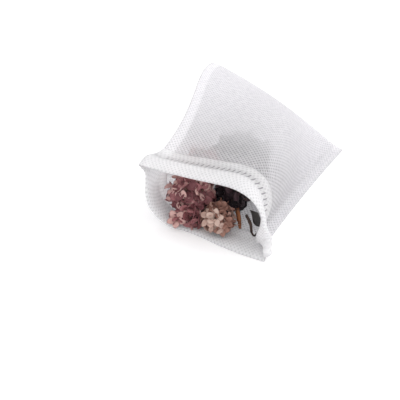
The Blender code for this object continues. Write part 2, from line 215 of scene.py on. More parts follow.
def lay_walls(across, along):
    """The inner faces of the upper and the lower wall, as two grids [row, column, xyz]. Rows and columns keep
    the flat sheet's width and length to about 2%. The walls meet in the seams and at the closed end."""
    seam = SEAM_WIDTH / BAG_WIDTH
    ends = np.linspace(0.0, 1.0, PATH_STEPS + 1)
    edge = np.minimum(across, 1.0 - across)
    near_edge = 1.0 - ease((edge - seam) / (2.0 * seam))
    between = np.clip((ends - seam) / (1.0 - 2.0 * seam), 0.0, 1.0)
    upper = np.zeros((len(along), len(across), 3))
    lower = np.zeros_like(upper)
    for row, distance in enumerate(along):
        share = distance / BAG_LENGTH
        hem = min(distance / HEM_DEPTH, 1.0)
        opened = 1.0 - share**OPEN_POWER
        band = ease(hem)
        body = ease(distance / HEM_TURN)
        section = [lip + (inner - lip) * body for lip, inner in zip(LIP_SECTION, BODY_SECTION)]
        top_slope, right_drop = (-LEAN + (slope + LEAN) * opened for slope in section[:2])
        top_crease, softness = section[2:]
        top = cross_path(top_slope, right_drop, top_crease, softness, band)
        rise = max(0.0, (share - FLOOR_REACH) / (1.0 - FLOOR_REACH)) ** 1.5
        floor_slope = FLOOR_SLOPE - (LEAN + FLOOR_SLOPE) * rise
        left_drop, floor_crease = lower_shape(top_slope, right_drop, top_crease, floor_slope)
        bed = cross_path(left_drop, floor_slope, floor_crease, FLOOR_SOFTNESS, band)
        bed = bed + (top[-1] - bed[-1]) * between[:, None]
        bow = CLOSED_END_BOW * np.sin(math.pi * across) * share**2
        apart = CORNER_GAP / 2 * (1.0 - hem**4) * near_edge * np.where(across < 0.5, 0.12, 1.0)
        rest = SEAM_REST_HEIGHT + (CORNER_REST_HEIGHT - SEAM_REST_HEIGHT) * (1.0 - band)
        edge_line = LIP_FLARE * (1.0 - body) + CLOSED_END_SHIFT * share**2
        for grid, path, side in ((upper, top, 1.0), (lower, bed, -1.0)):
            path = path - top[-1]
            grid[row, :, 0] = np.interp(across, ends, path[:, 0]) + edge_line
            grid[row, :, 2] = np.interp(across, ends, path[:, 1]) + bow + side * apart + rest
    for grid in (upper, lower):
        grid[-1, :, 1] = BAG_LENGTH
        for row in range(len(along) - 2, -1, -1):
            sideways = grid[row] - grid[row + 1]
            length = along[row + 1] - along[row]
            left = length**2 - sideways[:, 0] ** 2 - sideways[:, 2] ** 2
            grid[row, :, 1] = grid[row + 1, :, 1] - np.sqrt(np.maximum(left, (0.3 * length) ** 2))
    return upper, lower


def normals_of(grid):
    """Unit normals of a wall's grid, pointing up out of a level wall."""
    cross = np.cross(np.gradient(grid, axis=1), np.gradient(grid, axis=0))
    return cross / np.linalg.norm(cross, axis=2, keepdims=True)


def hem_swell(across, along, end_loft):
    """How far the tunnel stands open: a rounded lip, a point at the seals, `end_loft` at its right end."""
    reach = np.clip(along / HEM_DEPTH, 0.0, 1.0)
    profile = np.sqrt(reach) * (1.0 - reach) ** 1.3
    profile = profile / profile.max()
    flare = ease((across - 0.84) / 0.16)
    crisp = 0.12 + 0.88 * ease(across / 0.16)
    return profile[:, None] * (crisp * HEM_LOFT + (end_loft - HEM_LOFT) * flare)[None, :]


def creases(across, along, side):
    """How far the wall stands off its smooth shape: soft folds, puckers at the seals and a fine crumple."""
    wave = np.zeros((len(along), len(across)))
    for r, distance in enumerate(along):
        v = distance * 1000
        for c, share in enumerate(across):
            u = share * BAG_WIDTH * 1000
            soft = noise.noise(Vector((u / 17 + v / 60, v / 30, 3.1 + 9 * side)))
            fold = noise.noise(Vector((u / 6.5 - v / 26, v / 21, 7.7 + 5 * side)))
            fine = noise.noise(Vector((u / 2.6, v / 3.1, 1.3 + side)))
            near_seals = math.exp(-(((v - HEM_DEPTH * 1000) / 3.4) ** 2))
            pucker = noise.noise(Vector((u / 2.1, 4.2 + side, 0.5))) * near_seals
            wave[r, c] = 0.00042 * soft + 0.00020 * fold + 0.000035 * fine + 0.00016 * pucker
    edge = np.minimum(across, 1.0 - across) * BAG_WIDTH
    sideways = ease((edge - SEAM_WIDTH) / 0.005)
    lengthways = ease((BAG_LENGTH - along) / 0.012) * (0.3 + 0.7 * ease(along / 0.012))
    return wave * sideways[None, :] * lengthways[:, None]


class Layout:
    """Where the outside and inside of both walls lie, with the footprint's middle at the origin."""

    def __init__(self):
        self.across = stations_across()
        self.along = stations_along()
        self.upper, self.lower = lay_walls(self.across, self.along)
        walls = (self.upper, self.lower)
        plain = normals_of(self.upper), -normals_of(self.lower)
        skins = np.concatenate([(grid + normal * SHEET).reshape(-1, 3) for grid, normal in zip(walls, plain)])
        middle = (skins.min(axis=0) + skins.max(axis=0)) / 2
        for side, grid in enumerate(walls):
            lift = ease(grid[:, :, 2] / 0.004) if side else 1.0
            grid += plain[side] * (creases(self.across, self.along, side) * lift)[:, :, None]
            grid[:, :, :2] -= middle[:2]
        self.normals = (normals_of(self.upper), -normals_of(self.lower))
        self.swells = [hem_swell(self.across, self.along, loft) for loft in (TUNNEL_END_LOFT, HEM_LOFT)]
        outward = (OUTWARD_SHARE, 0.0)
        self.outsides = [
            grid + self.normals[side] * (SHEET + outward[side] * self.swells[side])[:, :, None]
            for side, grid in enumerate((self.upper, self.lower))
        ]
        self.outsides[1][:, :, 2] = np.maximum(self.outsides[1][:, :, 2], 0.0)
        self.thickness = [self.wall_thickness(side) for side in (0, 1)]
        self.insides = [
            self.outsides[side] - self.normals[side] * self.thickness[side][:, :, None] for side in (0, 1)
        ]

    def wall_thickness(self, side):
        """One layer, or two as far as the hem's raw edge with the tunnel, but never past the other wall."""
        stand = FLAP_STAND * ease((self.along - HEM_DEPTH) / (HEM_TURN - HEM_DEPTH))
        layers = np.where(self.along <= HEM_TURN, 2.0 * SHEET + stand, SHEET)[:, None]
        width = np.linalg.norm(self.outsides[0] - self.outsides[1], axis=2)
        return np.minimum(layers + self.swells[side], width * (0.7, 0.25)[side])

    def hollow_tree(self):
        """A search tree of the walls' inner faces, whose normals face the hollow."""
        rows, columns = self.upper.shape[:2]
        faces = []
        for side in (0, 1):
            start = side * rows * columns
            for r in range(rows - 1):
                for c in range(columns - 1):
                    here = start + r * columns + c
                    corners = (here, here + columns, here + columns + 1, here + 1)
                    faces.append(corners[::-1] if side else corners)
        points = np.concatenate([inside.reshape(-1, 3) for inside in self.insides])
        return BVHTree.FromPolygons([Vector(p) for p in points], faces)


class Skin:
    """Builds the bag as one closed skin: the outsides and insides of both walls, the lips, the hollow of each
    hem, and the sealed seams and closed end, where the two walls are one."""

    def __init__(self, layout):
        self.layout = layout
        self.rows, self.columns = layout.upper.shape[:2]
        self.seal_row = int(np.argmin(np.abs(layout.along - HEM_DEPTH)))
        self.last_row = self.rows - 2
        self.left, self.right = SEAM_STEPS, self.columns - 1 - SEAM_STEPS
        self.tunnel = (1, self.seal_row - 1)
        self.points, self.faces, self.index, self.cloth, self.inner = [], [], {}, [], []

    def shared(self, kind, row, column):
        """True where two skins meet in one point: round the hollow's edge, and along a tunnel's sides."""
        if kind in ("near", "far"):
            return row in self.tunnel
        if kind == "outside":
            return False
        if row == self.seal_row:
            return column <= self.left or column >= self.right
        if row > self.seal_row and column in (self.left, self.right):
            return True
        return row == self.last_row

    def place(self, kind, side, row, column):
        """Where a point of one skin lies: outside, inside, or the near or far side of the tunnel."""
        layout = self.layout
        outside = layout.outsides[side][row, column]
        if kind == "outside":
            return outside
        thick = layout.thickness[side][row, column]
        layer = min(SHEET, 0.4 * thick)
        depth = {"inside": thick, "near": layer, "far": thick - layer}[kind]
        if self.shared(kind, row, column):
            if kind == "inside":
                return (layout.outsides[0][row, column] + layout.outsides[1][row, column]) / 2
            depth = thick / 2
        return outside - layout.normals[side][row, column] * depth

    def point(self, kind, side, row, column):
        key = (kind, side, row, column)
        if self.shared(kind, row, column):
            key = ("hollow edge", 0, row, column) if kind == "inside" else ("tunnel edge", side, row, column)
        if key not in self.index:
            self.index[key] = len(self.points)
            self.points.append(tuple(self.place(kind, side, row, column)))
            self.inner.append(0.0 if kind == "outside" else 1.0)
            self.cloth.append((self.layout.across[column] * BAG_WIDTH * 10, self.layout.along[row] * 10))
        return self.index[key]

    def face(self, side, *corners):
        indices = [self.point(kind, side, row, column) for kind, row, column in corners]
        self.faces.append(list(dict.fromkeys(indices)))

    def quad(self, side, kind, row, column):
        corners = ((row, column), (row, column + 1), (row + 1, column + 1), (row + 1, column))
        self.face(side, *[(kind, *corner) for corner in corners])

    def wall(self, side):
        """One wall's outside, its inside round the hollow, its lip, and its hem's tunnel."""
        for c in range(self.columns - 1):
            for r in range(self.rows - 1):
                self.quad(side, "outside", r, c)
            for r in range(self.last_row):
                if r < self.seal_row or self.left <= c < self.right:
                    self.quad(side, "inside", r, c)
            for r in range(*self.tunnel):
                self.quad(side, "near", r, c)
                self.quad(side, "far", r, c)
            self.face(side, ("outside", 0, c), ("outside", 0, c + 1), ("inside", 0, c + 1), ("inside", 0, c))

    def tunnel_mouth(self, side, c):
        """The cut edge round one open end of a hem, where both layers show."""
        first, last = self.tunnel
        lip = (("inside", 0, c), ("outside", 0, c))
        self.face(side, *lip, ("outside", first, c), ("near", first, c), ("inside", first, c))
        for r in range(first, last):
            self.face(side, ("outside", r, c), ("outside", r + 1, c), ("near", r + 1, c), ("near", r, c))
            self.face(side, ("inside", r, c), ("inside", r + 1, c), ("far", r + 1, c), ("far", r, c))
        seal = (("outside", self.seal_row, c), ("inside", self.seal_row, c))
        self.face(side, ("near", last, c), ("outside", last, c), *seal, ("inside", last, c))

    def closing_edge(self, line):
        """The cut or folded edge where both walls end together, along a line of rows and columns."""
        for (row, column), (next_row, next_column) in zip(line, line[1:]):
            corners = [self.point("outside", side, row, column) for side in (0, 1)]
            corners += [self.point("outside", side, next_row, next_column) for side in (1, 0)]
            if row == self.seal_row:
                corners.insert(1, self.point("inside", 0, row, column))
            self.faces.append(corners)

    def build(self, name, material):
        for side in (0, 1):
            self.wall(side)
            for column in (0, self.columns - 1):
                self.tunnel_mouth(side, column)
        for column in (0, self.columns - 1):
            self.closing_edge([(row, column) for row in range(self.seal_row, self.rows)])
        self.closing_edge([(self.rows - 1, column) for column in range(self.columns)])
        mesh = bpy.data.meshes.new(name)
        mesh.from_pydata(self.points, [], self.faces)
        shape = bmesh.new()
        shape.from_mesh(mesh)
        bmesh.ops.recalc_face_normals(shape, faces=shape.faces)
        if shape.calc_volume(signed=True) < 0:
            bmesh.ops.reverse_faces(shape, faces=shape.faces)
        cloth = shape.loops.layers.uv.new("UVMap")
        for face in shape.faces:
            for loop in face.loops:
                loop[cloth].uv = self.cloth[loop.vert.index]
        shape.to_mesh(mesh)
        shape.free()
        mesh.attributes.new("inner", "FLOAT", "POINT").data.foreach_set("value", self.inner)
        mesh.shade_smooth()
        mesh.materials.append(material)
        obj = bpy.data.objects.new(name, mesh)
        bpy.context.scene.collection.objects.link(obj)
        return obj


# Materials


def make_nonwoven():
    """White heat-sealable nonwoven of thermally bonded fibre: matte, soft and thin enough to see through,
    with diagonal rows of clearer bond dots."""
    material, tree = new_material("heat_sealable_nonwoven")
    u, v = millimetres(tree)
    across = add_node(tree, "Math", u, math.tau * DOT_ROWS_ACROSS, operation="MULTIPLY")
    along = add_node(tree, "Math", v, math.tau * DOT_ROWS_ALONG, operation="MULTIPLY")
    rising = add_node(
        tree, "Math", add_node(tree, "Math", across, along, operation="ADD"), operation="SINE"
    )
    falling = add_node(
        tree, "Math", add_node(tree, "Math", across, along, operation="SUBTRACT"), operation="SINE"
    )
    dots = add_node(
        tree,
        "MapRange",
        add_node(tree, "Math", rising, falling, operation="ADD"),
        -0.2,
        1.3,
        interpolation_type="SMOOTHSTEP",
    )
    cloth = add_node(tree, "CombineXYZ", {0: u, 1: v})
    cloud = add_node(tree, "TexNoise", {"Vector": cloth, "Scale": 0.45, "Detail": 4.0, "Roughness": 0.62})
    fibre_way = add_node(tree, "VectorMath", cloth, (3.4, 0.7, 1.0), operation="MULTIPLY")
    fibre = add_node(
        tree, "TexNoise", {"Vector": fibre_way, "Scale": 1.6, "Detail": 5.0, "Distortion": 1.4}
    )

    # Seal line at the hem's depth: dashes that cross it, fainter to the left
    off_line = add_node(tree, "Math", v, HEM_DEPTH * 1000, operation="SUBTRACT")
    lean = add_node(tree, "Math", off_line, DASH_LEAN, operation="MULTIPLY")
    dash_place = add_node(
        tree,
        "Math",
        add_node(
            tree, "Math", add_node(tree, "Math", u, lean, operation="ADD"), DASH_PITCH, operation="DIVIDE"
        ),
        operation="FRACT",
    )
    dash_middle = add_node(
        tree, "Math", add_node(tree, "Math", dash_place, 0.5, operation="SUBTRACT"), operation="ABSOLUTE"
    )
    dash_long = add_node(
        tree, "MapRange", dash_middle, 0.08, 0.13, 1.0, 0.0, interpolation_type="SMOOTHSTEP"
    )
    off_line = add_node(tree, "Math", off_line, operation="ABSOLUTE")
    dash_wide = add_node(
        tree,
        "MapRange",
        off_line,
        DASH_HALF_LENGTH - 0.15,
        DASH_HALF_LENGTH + 0.15,
        1.0,
        0.0,
        interpolation_type="SMOOTHSTEP",
    )
    half_width = BAG_WIDTH * 500
    off_middle = add_node(
        tree, "Math", add_node(tree, "Math", u, half_width, operation="SUBTRACT"), operation="ABSOLUTE"
    )
    between_seams = add_node(
        tree,
        "MapRange",
        off_middle,
        half_width - 6.0,
        half_width - 5.0,
        1.0,
        0.0,
        interpolation_type="SMOOTHSTEP",
    )
    dash = add_node(
        tree,
        "Math",
        add_node(tree, "Math", dash_long, dash_wide, operation="MULTIPLY"),
        between_seams,
        operation="MULTIPLY",
    )
    dash = add_node(
        tree,
        "Math",
        dash,
        add_node(tree, "MapRange", u, 6.0, 26.0, 0.55, 1.0, interpolation_type="SMOOTHSTEP"),
        operation="MULTIPLY",
    )
    inner = add_node(tree, "Attribute", attribute_name="inner").outputs["Fac"]
    dash = add_node(
        tree,
        "Math",
        dash,
        add_node(tree, "MapRange", inner, 0.0, 1.0, 1.0, 0.15, interpolation_type="SMOOTHSTEP"),
        operation="MULTIPLY",
    )

    # Side seams: a pressed band with rows of slanted marks beyond the hem's seals, clearer in the right seam
    from_edge = add_node(tree, "Math", half_width, off_middle, operation="SUBTRACT")
    in_seam = add_node(tree, "MapRange", from_edge, 4.3, 5.5, 1.0, 0.0, interpolation_type="SMOOTHSTEP")
    slant = add_node(
        tree,
        "Math",
        add_node(tree, "Math", v, 2.9, operation="MULTIPLY"),
        add_node(tree, "Math", from_edge, 2.2, operation="MULTIPLY"),
        operation="ADD",
    )
    mark_row = add_node(
        tree,
        "Math",
        add_node(
            tree, "Math", add_node(tree, "Math", from_edge, 1.75, operation="MULTIPLY"), operation="SINE"
        ),
        operation="ABSOLUTE",
    )
    marks = add_node(
        tree,
        "MapRange",
        add_node(tree, "Math", slant, operation="SINE"),
        0.2,
        0.7,
        interpolation_type="SMOOTHSTEP",
    )
    marks = add_node(
        tree,
        "Math",
        marks,
        add_node(tree, "MapRange", mark_row, 0.35, 0.7, interpolation_type="SMOOTHSTEP"),
        operation="MULTIPLY",
    )
    marks = add_node(tree, "Math", marks, in_seam, operation="MULTIPLY")
    marks = add_node(
        tree,
        "Math",
        marks,
        add_node(
            tree, "MapRange", v, HEM_DEPTH * 1000, HEM_DEPTH * 1000 + 0.5, interpolation_type="SMOOTHSTEP"
        ),
        operation="MULTIPLY",
    )
    marks = add_node(
        tree,
        "Math",
        marks,
        add_node(tree, "MapRange", u, 30.0, 50.0, 0.2, 1.0, interpolation_type="SMOOTHSTEP"),
        operation="MULTIPLY",
    )

    # Where the hem lies double, and its raw edge, along which a thin shadow is painted
    turn = HEM_TURN * 1000
    doubled = add_node(
        tree, "MapRange", v, turn - 0.05, turn + 0.1, 1.0, 0.0, interpolation_type="SMOOTHSTEP"
    )
    off_turn = add_node(
        tree, "Math", add_node(tree, "Math", v, turn, operation="SUBTRACT"), operation="ABSOLUTE"
    )
    raw_edge_painted_shadow = add_node(tree, "MapRange", off_turn, 0.10, 0.22, 1.0, 0.0, interpolation_type="SMOOTHSTEP")

    pale, shade = linear("#f5f4f6"), linear("#e2e1e5")
    colour = add_node(
        tree,
        "Mix",
        {
            0: add_node(tree, "MapRange", cloud, 0.35, 0.7, interpolation_type="SMOOTHSTEP"),
            6: pale,
            7: linear("#edecef"),
        },
        data_type="RGBA",
    )
    colour = add_node(
        tree,
        "Mix",
        {0: add_node(tree, "Math", dots, 0.1, operation="MULTIPLY"), 6: colour, 7: shade},
        data_type="RGBA",
    )
    # Whiter where the hem lies double: partly the two layers' own whiteness, partly painted light that lifts
    # the shade between the layers
    colour = add_node(
        tree,
        "Mix",
        {0: add_node(tree, "Math", doubled, 0.6, operation="MULTIPLY"), 6: colour, 7: linear("#ffffff")},
        data_type="RGBA",
    )
    # Painted shadow: a grey line along the hem's raw edge, for the thin shadow under the lifted flap
    colour = add_node(
        tree,
        "Mix",
        {0: add_node(tree, "Math", raw_edge_painted_shadow, 0.6, operation="MULTIPLY"), 6: colour, 7: linear("#c2bfc3")},
        data_type="RGBA",
    )
    colour = add_node(
        tree,
        "Mix",
        {0: add_node(tree, "Math", marks, 0.4, operation="MULTIPLY"), 6: colour, 7: linear("#cfcdd2")},
        data_type="RGBA",
    )
    colour = add_node(
        tree,
        "Mix",
        {0: add_node(tree, "Math", dash, 0.85, operation="MULTIPLY"), 6: colour, 7: linear("#8f8a92")},
        data_type="RGBA",
    )

    # See-through: clearer in the dots, and less so where the cloth lies double or stands off its contents
    clear = add_node(
        tree,
        "Math",
        add_node(tree, "Math", dots, 0.27, operation="MULTIPLY"),
        add_node(tree, "Math", cloud, 0.26, operation="MULTIPLY"),
        operation="ADD",
    )
    clear = add_node(tree, "Math", clear, 0.33, operation="ADD")
    off_hem = add_node(
        tree, "Math", v, add_node(tree, "Math", cloud, 14.0, operation="MULTIPLY"), operation="ADD"
    )
    clear = add_node(
        tree,
        "Math",
        clear,
        add_node(tree, "MapRange", off_hem, 26.0, 54.0, 1.0, 0.6, interpolation_type="SMOOTHSTEP"),
        operation="MULTIPLY",
    )
    clear = add_node(
        tree,
        "Math",
        clear,
        add_node(tree, "MapRange", doubled, 0.0, 1.0, 1.0, 0.5, interpolation_type="SMOOTHSTEP"),
        operation="MULTIPLY",
    )
    clear = add_node(
        tree,
        "Math",
        clear,
        add_node(tree, "MapRange", in_seam, 0.0, 1.0, 1.0, 0.8, interpolation_type="SMOOTHSTEP"),
        operation="MULTIPLY",
    )
    clear = add_node(
        tree,
        "Math",
        clear,
        add_node(tree, "MapRange", raw_edge_painted_shadow, 0.0, 1.0, 1.0, 0.7, interpolation_type="SMOOTHSTEP"),
        operation="MULTIPLY",
    )

    height = add_node(tree, "Math", dots, -0.12, operation="MULTIPLY")
    height = add_node(
        tree, "Math", height, add_node(tree, "Math", fibre, 0.8, operation="MULTIPLY"), operation="ADD"
    )
    height = add_node(
        tree, "Math", height, add_node(tree, "Math", marks, -1.6, operation="MULTIPLY"), operation="ADD"
    )
    height = add_node(
        tree, "Math", height, add_node(tree, "Math", dash, -2.2, operation="MULTIPLY"), operation="ADD"
    )
    bump = add_node(tree, "Bump", {"Height": height, "Strength": 0.55, "Distance": 0.00009})

    finish = {"Roughness": 0.82, "Sheen Weight": 0.15, "Sheen Roughness": 0.5, "Specular IOR Level": 0.25}
    surface = add_node(tree, "BsdfPrincipled", {"Base Color": colour, "Normal": bump, **finish})
    through = add_node(tree, "BsdfTranslucent", {"Color": colour, "Normal": bump})
    lit = add_node(tree, "MixShader", {0: 0.42, 1: surface, 2: through})
    open_air = add_node(tree, "BsdfTransparent", {"Color": (1.0, 1.0, 1.0, 1.0)})
    add_node(
        tree, "OutputMaterial", {"Surface": add_node(tree, "MixShader", {0: clear, 1: lit, 2: open_air})}
    )
    return material


def make_petals(name, deep, middle, light, edge):
    """Papery dried petal: veined along its length, paler in the middle and browned at the edge."""
    material, tree = new_material(name)
    uv = add_node(tree, "UVMap", uv_map="UVMap")
    place = add_node(tree, "TexCoord").outputs["Object"]
    tone = add_node(tree, "Attribute", attribute_name="tone").outputs["Fac"]
    parts = add_node(tree, "SeparateXYZ", {0: uv})
    blotch = add_node(tree, "TexNoise", {"Vector": place, "Scale": 620.0, "Detail": 5.0})
    drawn_out = add_node(tree, "VectorMath", uv, (16.0, 1.6, 1.0), operation="MULTIPLY")
    veins = add_node(tree, "TexNoise", {"Vector": drawn_out, "Scale": 1.0, "Detail": 3.0})
    shade = add_node(
        tree,
        "Math",
        add_node(tree, "Math", blotch, 0.5, operation="MULTIPLY"),
        add_node(tree, "Math", tone, 0.95, operation="MULTIPLY"),
        operation="ADD",
    )
    shade = add_node(
        tree, "Math", shade, add_node(tree, "Math", veins, 0.35, operation="MULTIPLY"), operation="ADD"
    )
    colour = add_node(
        tree,
        "Mix",
        {
            0: add_node(tree, "MapRange", shade, 0.35, 0.85, interpolation_type="SMOOTHSTEP"),
            6: linear(deep),
            7: linear(middle),
        },
        data_type="RGBA",
    )
    colour = add_node(
        tree,
        "Mix",
        {
            0: add_node(tree, "MapRange", shade, 0.80, 1.30, interpolation_type="SMOOTHSTEP"),
            6: colour,
            7: linear(light),
        },
        data_type="RGBA",
    )
    off_middle = add_node(
        tree,
        "Math",
        add_node(tree, "Math", parts.outputs[0], 0.5, operation="SUBTRACT"),
        operation="ABSOLUTE",
    )
    tip = add_node(tree, "MapRange", parts.outputs[1], 0.84, 1.0, interpolation_type="SMOOTHSTEP")
    rim = add_node(
        tree,
        "Math",
        add_node(tree, "MapRange", off_middle, 0.36, 0.5, interpolation_type="SMOOTHSTEP"),
        tip,
        operation="MAXIMUM",
    )
    colour = add_node(
        tree,
        "Mix",
        {0: add_node(tree, "Math", rim, 0.45, operation="MULTIPLY"), 6: colour, 7: linear(edge)},
        data_type="RGBA",
    )
    base = add_node(
        tree, "MapRange", parts.outputs[1], 0.0, 0.3, 0.55, 0.0, interpolation_type="SMOOTHSTEP"
    )
    colour = add_node(tree, "Mix", {0: base, 6: colour, 7: linear(deep)}, data_type="RGBA")
    bump = add_node(
        tree,
        "Bump",
        {
            "Height": add_node(
                tree,
                "Math",
                veins,
                add_node(tree, "Math", blotch, 0.6, operation="MULTIPLY"),
                operation="ADD",
            ),
            "Strength": 0.7,
            "Distance": 0.00012,
        },
    )
    finish = {"Roughness": 0.66, "Sheen Weight": 0.12}
    surface = add_node(tree, "BsdfPrincipled", {"Base Color": colour, "Normal": bump, **finish})
    through = add_node(tree, "BsdfTranslucent", {"Color": colour, "Normal": bump})
    lit = add_node(tree, "MixShader", {0: 0.28, 1: surface, 2: through})
    add_node(tree, "OutputMaterial", {"Surface": lit})
    return material


def make_dry_plant(name, dark, light, scale, stretch):
    """Dry stalk, leaf or flower centre: streaked along its length and faintly rough."""
    material, tree = new_material(name)
    place = add_node(tree, "TexCoord").outputs["Object"]
    along = add_node(tree, "VectorMath", place, stretch, operation="MULTIPLY")
    streak = add_node(tree, "TexNoise", {"Vector": along, "Scale": scale, "Detail": 6.0})
    spots = add_node(tree, "TexVoronoi", {"Vector": place, "Scale": scale * 1.7})
    colour = add_node(
        tree,
        "Mix",
        {
            0: add_node(tree, "MapRange", streak, 0.32, 0.7, interpolation_type="SMOOTHSTEP"),
            6: linear(dark),
            7: linear(light),
        },
        data_type="RGBA",
    )
    colour = add_node(
        tree,
        "Mix",
        {
            0: add_node(tree, "MapRange", spots, 0.0, 0.25, 0.5, 0.0, interpolation_type="SMOOTHSTEP"),
            6: colour,
            7: linear(dark),
        },
        data_type="RGBA",
    )
    bump = add_node(
        tree,
        "Bump",
        {
            "Height": add_node(
                tree,
                "Math",
                streak,
                add_node(tree, "Math", spots, 0.4, operation="MULTIPLY"),
                operation="ADD",
            ),
            "Strength": 0.8,
            "Distance": 0.00015,
        },
    )
    inputs = {"Base Color": colour, "Roughness": 0.58, "Normal": bump}
    add_node(tree, "OutputMaterial", {"Surface": add_node(tree, "BsdfPrincipled", inputs)})
    return material


# Flowers

# Smaller clumps that lean on the heaps: middle, half sizes and number of florets
LEANING_CLUMPS = {
    "mauve_flowers": (
        ((-1.2e-3, -41.0e-3, 5.0e-3), (3.0e-3, 2.8e-3, 3.8e-3), 9),
        ((-4.0e-3, -26.0e-3, 24.5e-3), (8.5e-3, 4.0e-3, 4.0e-3), 14),
    ),
    "dark_flowers": (
        ((11.5e-3, -27.0e-3, 12.5e-3), (7.0e-3, 4.0e-3, 9.0e-3), 26),
        ((10.0e-3, -20.0e-3, 25.0e-3), (10.0e-3, 5.5e-3, 4.0e-3), 18),
    ),
}

# Widths of a petal from its base to its tip, as shares of its full width
ROUNDED = (0.20, 0.36, 0.58, 0.80, 0.96, 1.0, 0.93, 0.76, 0.40)
POINTED = (0.24, 0.46, 0.70, 0.90, 1.0, 0.92, 0.72, 0.44, 0.10)


def make_petal(name, length, width, outline, curl, cup, wave, seed):
    """One papery petal standing on its base: a grid trimmed row by row, curled, cupped, crumpled and given
    its thickness."""
    bpy.ops.object.select_all(action="DESELECT")
    bpy.ops.mesh.primitive_grid_add(
        x_subdivisions=5, y_subdivisions=8, size=1, location=(0, 0, 0), rotation=(math.pi / 2, 0, 0)
    )
    petal = bpy.context.active_object
    petal.name = name
    bpy.ops.object.transform_apply(location=False, rotation=True, scale=False)
    bpy.ops.object.mode_set(mode="EDIT")
    bpy.ops.mesh.select_mode(type="VERT")
    shape = bmesh.from_edit_mesh(petal.data)
    for row, share in enumerate(outline):
        bpy.ops.mesh.select_all(action="DESELECT")
        for vertex in shape.verts:
            vertex.select_set(abs(vertex.co.z - (row / 8 - 0.5)) < 0.01)
        shape.select_flush_mode()
        bmesh.update_edit_mesh(petal.data)
        bpy.ops.transform.resize(value=(share, 1, 1), center_override=(0, 0, 0))
    bpy.ops.mesh.select_all(action="SELECT")
    bpy.ops.transform.translate(value=(0, 0, 0.5))
    bpy.ops.transform.resize(value=(width, 1, length), center_override=(0, 0, 0))
    bpy.ops.object.mode_set(mode="OBJECT")
    for axis, angle in (("X", curl), ("Z", cup)):
        bend = petal.modifiers.new(f"bend_{axis}", "SIMPLE_DEFORM")
        bend.deform_method = "BEND"
        bend.deform_axis = axis
        bend.angle = math.radians(angle)
    ripple = bpy.data.textures.new(f"{name}_ripple", "CLOUDS")
    ripple.noise_scale = 0.0014 + 0.0002 * seed
    crumple = petal.modifiers.new("crumple", "DISPLACE")
    crumple.texture = ripple
    crumple.strength = wave
    crumple.mid_level = 0.5
    thick = petal.modifiers.new("thickness", "SOLIDIFY")
    thick.thickness = 0.00012
    thick.offset = 0.0
    apply_all(petal)
    petal.data.shade_smooth()
    petal.data.materials.append(bpy.data.materials.get("petal") or bpy.data.materials.new("petal"))
    return petal


def copy_of(source, name):
    """A copy of a piece with its own mesh."""
    made = bpy.data.objects.new(name, source.data.copy())
    bpy.context.scene.collection.objects.link(made)
    return made


def joined(pieces, name):
    """One piece made of several, with its place in its mesh."""
    select_only(*pieces)
    bpy.ops.object.join()
    made = bpy.context.active_object
    made.name = name
    made.data.name = name
    select_only(made)
    bpy.ops.object.transform_apply(location=True, rotation=True, scale=True)
    return made


def make_centre(radius):
    """The small knobbly middle of a floret."""
    bpy.ops.object.select_all(action="DESELECT")
    bpy.ops.mesh.primitive_ico_sphere_add(subdivisions=2, radius=radius, location=(0, 0, radius * 0.7))
    centre = bpy.context.active_object
    bpy.ops.object.transform_apply(location=True, rotation=True, scale=True)
    for vertex in centre.data.vertices:
        vertex.co *= 1.0 + 0.3 * noise.noise(vertex.co * 2600)
    centre.data.shade_smooth()
    centre.data.materials.append(bpy.data.materials.get("centre") or bpy.data.materials.new("centre"))
    return centre


def make_floret(name, petals, opened, count, rng):
    """A floret: petals set round a small centre, each turned out from the axis by about `opened` degrees."""
    pieces = [make_centre(0.0006)]
    for k in range(count):
        piece = copy_of(petals[k % len(petals)], f"{name}_{k}")
        turn = Matrix.Rotation(math.tau * (k + rng.uniform(-0.12, 0.12)) / count, 4, "Z")
        out = Matrix.Rotation(math.radians(opened + rng.uniform(-12, 12)), 4, "X")
        piece.matrix_world = turn @ Matrix.Translation((0, -0.0004, 0)) @ out
        pieces.append(piece)
    return joined(pieces, name)


def dress(obj, materials):
    """Puts the heap's own materials in place of the ones that the florets were modelled with."""
    for k, material in enumerate(obj.data.materials):
        obj.data.materials[k] = materials[material.name]


def set_tone(obj, value):
    """How light a floret's petals are, from 0 to 1."""
    tone = obj.data.attributes.new("tone", "FLOAT", "POINT")
    tone.data.foreach_set("value", [value] * len(obj.data.vertices))


def keep_inside(obj, tree):
    """Moves the points of a loose piece that stand in or too near a wall to just inside it."""
    for vertex in obj.data.vertices:
        nearest, normal, _, distance = tree.find_nearest(vertex.co)
        side = 1.0 if (vertex.co - nearest).dot(normal) >= 0 else -1.0
        if side * distance < CLEAR_OF_WALL:
            vertex.co = nearest + normal * CLEAR_OF_WALL


